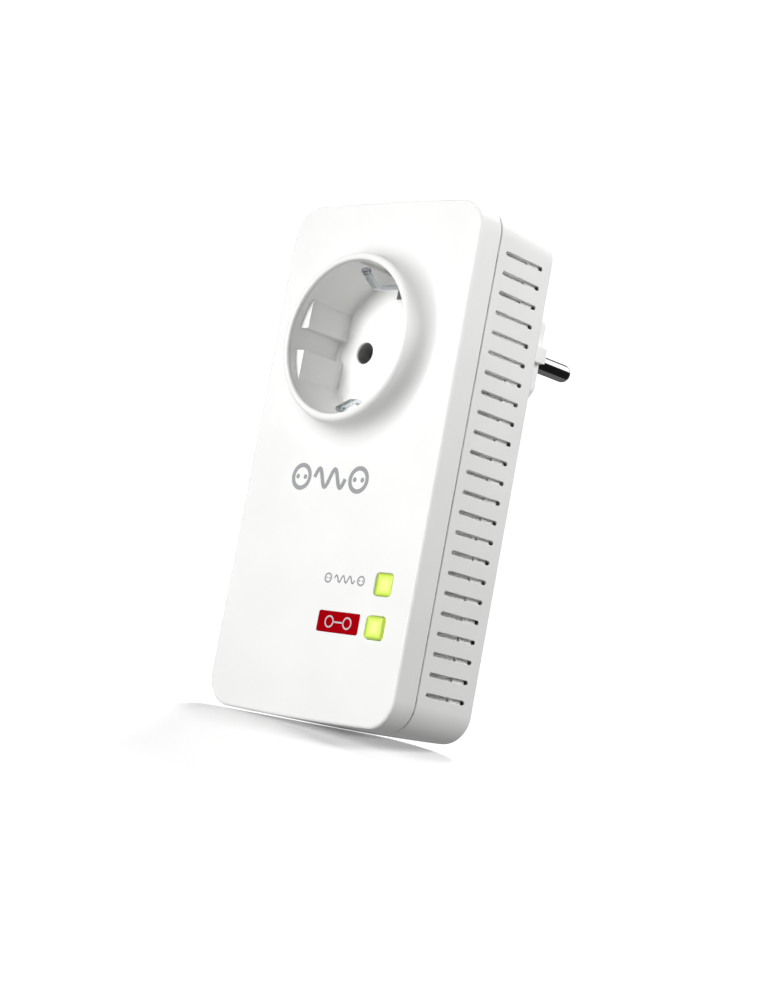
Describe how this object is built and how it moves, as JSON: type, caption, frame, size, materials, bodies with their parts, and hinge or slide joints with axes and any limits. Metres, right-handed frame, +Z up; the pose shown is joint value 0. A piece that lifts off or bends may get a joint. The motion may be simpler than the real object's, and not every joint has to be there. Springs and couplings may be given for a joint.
{
  "type": "powerline adapter",
  "caption": "Plug-in powerline network adapter: a vented white housing with an earthed pass-through socket in front, a mains plug behind, a lamp, a push button and a network port in the base.",
  "frame": {"origin": "centre of the mains plug's front face, midway between its two pins", "axes": "+Y along the pins, into the wall socket; +Z up the housing; +X to the right seen from the front"},
  "size_m": [0.066, 0.0747, 0.132],
  "materials": {
    "white_plastic": "glossy moulded white",
    "well_plastic": "glossy moulded off-white",
    "nickel": "nickel-plated steel",
    "spring_steel": "drawn wire",
    "black_plastic": "matt moulded black",
    "zinc": "zinc-plated",
    "brass": "bright strip",
    "plated_brass": "bright nickel plate",
    "lead_insulation": "insulated lead",
    "lit_green": "translucent, lit from behind",
    "led_resin": "clear resin",
    "red_print": "gloss red film",
    "board_green": "solder resist over fibreglass",
    "gold_contacts": "gold flash",
    "chip_black": "moulded epoxy",
    "heat_sink_metal": "anodised",
    "winding": "taped winding",
    "capacitor_sleeve": "shrink sleeve",
    "capacitor_box": "moulded box",
    "varistor_blue": "dipped coating",
    "sheet_film": "insulating film"
  },
  "bodies": {
    "housing": {"front_shell": "white_plastic", "rear_shell": "white_plastic", "socket_well": "well_plastic", "earth_bracket": "nickel", "shutter_spring": "spring_steel", "contact_carrier": "black_plastic", "carrier_screws": "zinc", "contact_line": "brass", "contact_neutral": "brass", "plug_body": "white_plastic", "plug_pin_line": "plated_brass", "plug_pin_neutral": "plated_brass", "plug_earth_bracket": "nickel", "earth_rivet": "nickel", "mains_leads": "lead_insulation", "switch_body": "black_plastic", "lamp_lens": "lit_green", "lamp_led": "led_resin", "button_led": "led_resin", "red_label": "red_print", "logic_board": "board_green", "power_board": "board_green", "network_jack": "nickel", "port_frame": "white_plastic", "jack_contacts": "gold_contacts", "processor": "chip_black", "heat_sink": "heat_sink_metal", "memory_chip": "chip_black", "flash_chip": "chip_black", "crystal": "nickel", "network_transformer": "chip_black", "line_coupler": "winding", "power_transformer": "winding", "bulk_capacitors": "capacitor_sleeve", "output_capacitors": "capacitor_sleeve", "x_capacitor": "capacitor_box", "line_choke": "winding", "varistor": "varistor_blue", "fuse": "chip_black", "bridge_rectifier": "chip_black", "board_header": "chip_black", "insulating_sheet": "sheet_film", "case_screws": "zinc", "board_screws": "zinc"},
    "button": {"connect_button": "lit_green", "switch_plunger": "black_plastic"},
    "shutter": {"safety_shutter": "well_plastic"},
    "earth_top": {"earth_spring_top": "nickel"},
    "earth_bottom": {"earth_spring_bottom": "nickel"}
  },
  "joints": [
    {"name": "button_press", "type": "slide", "parent": "housing", "child": "button", "axis": [0, 1, 0], "range_m": [0, 0.0006], "stiffness_N_per_m": 1500, "springref_m": -0.0006},
    {"name": "shutter_turn", "type": "hinge", "parent": "housing", "child": "shutter", "pos_m": [0, -0.0324, -0.0089], "axis": [0, 1, 0], "range_deg": [0, 40], "stiffness_Nm_per_rad": 0.002, "springref_deg": -11.46},
    {"name": "earth_top_flex", "type": "hinge", "parent": "housing", "child": "earth_top", "pos_m": [0, -0.0356, 0.0094], "axis": [-1, 0, 0], "range_deg": [0, 5], "stiffness_Nm_per_rad": 0.5, "springref_deg": -1.15},
    {"name": "earth_bottom_flex", "type": "hinge", "parent": "housing", "child": "earth_bottom", "pos_m": [0, -0.0356, -0.0272], "axis": [1, 0, 0], "range_deg": [0, 5], "stiffness_Nm_per_rad": 0.5, "springref_deg": -1.15}
  ]
}
